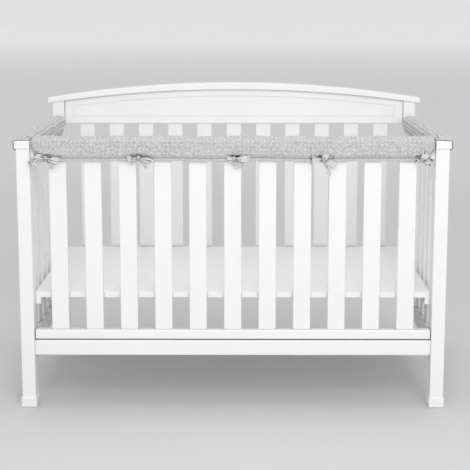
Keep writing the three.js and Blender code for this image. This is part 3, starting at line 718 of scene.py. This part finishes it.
def tape_sheet(centre, wide, widths, curl, thick):
    """A tape along a line of centres (n, 3) with its own width direction (n, 3), widths (n) and curl (n,
    m): how far each place across it stands out along its thickness direction. Returns rings for loft."""
    ahead = np.gradient(centre, axis=0)
    ahead /= np.linalg.norm(ahead, axis=1, keepdims=True)
    thin = np.cross(ahead, wide)
    thin /= np.linalg.norm(thin, axis=1, keepdims=True)
    share = np.linspace(-0.5, 0.5, curl.shape[1])
    spread = wide[:, None] * (share * widths[:, None])[..., None]
    middle = centre[:, None] + spread + thin[:, None] * curl[..., None]
    half = thick / 2 * (1 - 0.6 * np.abs(2 * share) ** 6)
    half = (half * np.ones_like(curl))[..., None] * thin[:, None]
    return np.concatenate([middle - half, (middle + half)[:, ::-1]], axis=1)


def band_line(tie, band, part):
    """Where a loop or a free end runs, in the plane of the crib's front, at shares part of its length: it
    starts at the knot at an angle and turns evenly by bend. Returns the place along, the height and the
    direction."""
    fine = np.linspace(0, 1, 61)
    turn = np.radians(band["angle"] + band["bend"] * fine)
    stride = band["length"] / 60
    along = tie["along"] + np.concatenate([[0], np.cumsum(stride * np.cos(turn[1:]))])
    up = tie["up"] + np.concatenate([[0], np.cumsum(stride * np.sin(turn[1:]))])
    direction = np.radians(band["angle"] + band["bend"] * part)
    return np.interp(part, fine, along), np.interp(part, fine, up), direction


def make_band(tie, band, seed):
    """Rings of one loop or one free end of a bow, with the painted shade of each point: darker in the
    gathers near the knot, in the crumples' hollows and inside a loop, lighter at the tape's edges. A loop
    runs out behind and comes back in front: its share of the length is half of 1 + cos(q) and it swells by
    sin(q) while q goes from -180 to 180 degrees. A free end waves once. Gathers run out from the knot and
    fade, and small crumples, drawn out along the band, cover all of it."""
    draw = np.random.default_rng(seed)
    loop = band["kind"] == "loop"
    if loop:
        q = np.linspace(-math.pi, math.pi, BAND["loop_steps"]) * BAND["loop_closed"]
        part, swell = (1 + np.cos(q)) / 2, -np.sin(q)
        droop = TAPE["droop"] * (q > 0) * np.sin(q) * band.get("droop", 1)
    else:
        part = np.linspace(0, 1, BAND["end_steps"])
        swell = BAND["end_swell"] * np.sin(2.2 * math.pi * part + draw.uniform(-0.5, 0.5))
        droop = 0 * part
    along, up, turn = band_line(tie, band, part)
    swaying = 1 + BAND["sway"] * np.sin(9 * part + draw.uniform(0, 6))
    narrowed = BAND["at_knot"] + BAND["beyond"] * rise(part, BAND["narrow_for"])
    width = band["width"] * narrowed * swaying
    reach = width / 2 * np.abs(np.cos(turn))
    depth = lay_front(along, up + reach) - TAPE["thick"] / 2 + (swell - 1) * band["open"] / 2
    depth = depth - TAPE["crumple"]
    centre = np.stack([along, depth, up - droop], axis=-1)
    tilt = np.radians(band.get("tilt", 0)) * rise(part, 0.5)
    wide = np.stack([-np.sin(turn) * np.cos(tilt), np.sin(tilt), np.cos(turn) * np.cos(tilt)], axis=-1)
    share = np.linspace(-0.5, 0.5, BAND["places"])[None]
    run = np.arange(len(part))[:, None] * (2.2 if loop else 1) * band["length"] / len(part)
    across = share * width[:, None]
    near_knot = np.exp(-(part / BAND["near_knot"]) ** 2)[:, None]
    gathers = np.cos(2 * math.pi * (BAND["gathers"] * share + 0.3 * part[:, None]) + draw.uniform(0, 6))
    crumples = waves(across, BAND["crumple_drawn"] * run, BAND["crumple_size"], seed + 50,
                     BAND["crumple_count"])
    gathered = gathers * (BAND["gather"] + BAND["gather_at_knot"] * near_knot)
    curl = gathered + TAPE["crumple"] * crumples * (1 - 0.5 * near_knot)
    curl = curl + BAND["bow"] * (np.abs(2 * share) ** 2 - 0.4) * draw.choice([-1, 1])
    # Painted shade and highlight: darker in the gathers near the knot, in crumple hollows and inside loops,
    # lighter at the edges.
    fold = np.clip(-gathers, 0, 1) ** 2 * near_knot
    inside = (0.35 + 0.6 * near_knot) * np.sqrt(np.abs(swell[:, None])) * loop
    front = np.clip(1.1 * fold + 1.3 * np.clip(-crumples - 0.35, 0, 1), 0, 1)
    front = front - 0.22 * np.abs(2 * share) ** 6
    back = np.clip(front + inside, -0.22, 1)
    rings = tape_sheet(centre, wide, width, curl, TAPE["thick"])
    return rings, np.concatenate([front, back[:, ::-1]], axis=1)


def make_strap(tie):
    """Rings of the strap, which leaves the inner hem, passes under the rail and comes up to the knot in
    front."""
    half = INNER_HALF + GUARD["hem"]
    place = tie["strap_along"]
    inner_hem = float(hem_line(COVERS[FRONT], "inner_hem", place))
    under = float(hem_line(COVERS[FRONT], "outer_hem", place)) - TAPE["under_hem"]
    behind_knot = float(lay_front(tie["along"], tie["up"])) - middle_of("front_top_rail")[1]
    behind_knot -= TAPE["strap_behind"]
    rows = np.array([
        [half - GUARD["hem"] / 2, inner_hem - 0.9, place],
        [half - 2.5, under + 4, place],
        [half - 7, under, place],
        [4 - half, under, place],
        [-half - 2.5, under + 1, place],
        [-half - 5.5, under + 5, place + 0.25 * (tie["along"] - place)],
        [behind_knot, tie["up"] - 2, tie["along"]],
    ])
    line = through(rows, 8)
    centre = np.stack([line[:, 2], line[:, 0] + middle_of("front_top_rail")[1], line[:, 1]], axis=-1)
    ahead = np.gradient(centre, axis=0)
    wide = np.array([1.0, 0, 0]) - ahead * (ahead[:, :1] / (ahead ** 2).sum(axis=1, keepdims=True))
    wide /= np.linalg.norm(wide, axis=1, keepdims=True)
    widths = np.full(len(centre), TAPE["strap_width"])
    curl = 0.3 * np.cos(np.linspace(-2, 2, 9))[None] * np.ones((len(centre), 1))
    return tape_sheet(centre, wide, widths, curl, TAPE["thick"])


def through(rows, steps):
    """A smooth line through rows of places, with steps between each two: Catmull-Rom, the ends doubled."""
    ends = np.concatenate([2 * rows[:1] - rows[1:2], rows, 2 * rows[-1:] - rows[-2:-1]])
    t = np.arange(0, len(rows) - 1, 1 / steps)
    t = np.append(t, len(rows) - 1 - 1e-6)
    i = t.astype(int)
    f = (t - i)[:, None]
    p0, p1, p2, p3 = ends[i], ends[i + 1], ends[i + 2], ends[i + 3]
    return 0.5 * (2 * p1 + (p2 - p0) * f + (2 * p0 - 5 * p1 + 4 * p2 - p3) * f ** 2
                  + (3 * p1 - p0 - 3 * p2 + p3) * f ** 3)


KNOT_TURN = np.linspace(0, 2 * math.pi, 40, endpoint=False)
KNOT_SIDE = np.linspace(-1, 1, 19)[:, None]


def knot_folds():
    """Where the knot's tape lies in folds, from -1 in the creases to 1 on their crests."""
    return np.cos(8.5 * KNOT_SIDE + 0.8 * np.sin(2 * KNOT_TURN + 1))


def knot_painted_shade():
    """The painted shade of each point of the knot: darker deep in the creases of its folds and at its sides.
    """
    return np.clip(-knot_folds() - 0.2, 0, 1) * 0.8 + 0.5 * np.abs(KNOT_SIDE) ** 6


def make_knot(tie):
    """Rings of the knot: a short barrel of tape wound over the middle of the bow, with lengthwise folds."""
    full = (1 - np.abs(KNOT_SIDE) ** KNOT["squareness"]) ** 0.5 * (1 + KNOT["fold"] * knot_folds())
    full = full + KNOT["end"]
    depth, height = KNOT["depth"] / 2, KNOT["height"] / 2
    middle = float(lay_front(tie["along"], tie["up"] + height)) - depth
    lean = math.radians(tie["lean"])
    x = KNOT_SIDE * KNOT["width"] / 2 + 0 * KNOT_TURN
    z = full * height * np.sin(KNOT_TURN)
    dented = 1 + KNOT["dent"] * np.cos(3 * KNOT_TURN + tie["along"])
    y = middle - full * depth * np.cos(KNOT_TURN) * dented
    along = tie["along"] + x * math.cos(lean) - z * math.sin(lean)
    up = tie["up"] + x * math.sin(lean) + z * math.cos(lean)
    return np.stack([along, y, up], axis=-1)


def make_tie(name, tie):
    """A bow as one mesh: the strap, the loops, the free ends and the knot over them."""
    strap, knot = make_strap(tie), make_knot(tie)
    parts, creases = [loft(strap, sheet_end_faces(strap.shape[1]))], [0 * strap[..., 0]]
    rows = [band for band in BANDS if band["tie"] == name]
    for number, band in enumerate(rows):
        rings, crease = make_band(tie, band, 10 * number + len(name))
        parts.append(loft(rings, sheet_end_faces(rings.shape[1])))
        creases.append(crease)
    parts.append(loft(knot))
    creases.append(knot_painted_shade())
    made = piece(name.replace("tie", "bow"), join(parts), tape, [name])
    # The crease values are painted shade and highlight for the tape's material.
    add_values(made, "crease", np.concatenate([crease.ravel() for crease in creases]))
    length = sum((2 if band["kind"] == "loop" else 1) * band["length"] for band in rows)
    length += TAPE["strap_length"] + 3 * KNOT["height"]
    return made


POST_EDGE = -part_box("post_front_left")[1].x / MM
POST_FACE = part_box("post_front_left")[0].y / MM
for name, tie in TIES.items():
    make_tie(name, tie)


# ---------------------------------------------------------------- floor
FLOOR = {"half": 70.0, "tone": 0.67, "clouds": 0.04,
         "near": (1.2, 6.5, 0.0, 0.17), "far": (9.0, 42.0, 0.0, 0.175)}   # distances in metres, then the painted glow


def add_floor():
    """A wide pale floor under the crib's feet, with a painted glow that grows further out until it meets the
    backdrop's tone.
    """
    made, shader, n, here = new_finish("floor_paint", Roughness=0.7, Specular_IOR_Level=0.25,
                                       Emission_Color=(1.0, 1.0, 1.01, 1.0))
    clouds = n.math("SUBTRACT", n.noise(here, 1.2, 3.0), 0.5)
    away = n.make("VectorMath", {0: here}, output=1, operation="LENGTH")
    # Painted glow: the floor emits light, more with the distance from the crib's middle.
    painted_glow = n.math("ADD", n.remap(away, *FLOOR["near"]), n.remap(away, *FLOOR["far"]))
    tone = n.math("MULTIPLY_ADD", clouds, FLOOR["clouds"], FLOOR["tone"])
    n.feed(shader, {"Emission Strength": painted_glow, "Base Color": n.shade((1.0, 1.0, 1.0), tone)})
    half = FLOOR["half"]
    corners = [(-half, -half, 0), (half, -half, 0), (half, half, 0), (-half, half, 0)]
    mesh = bpy.data.meshes.new("floor")
    mesh.from_pydata(corners, [], [(0, 1, 2, 3)])
    mesh.materials.append(made)
    floor = link("floor", mesh)


add_floor()
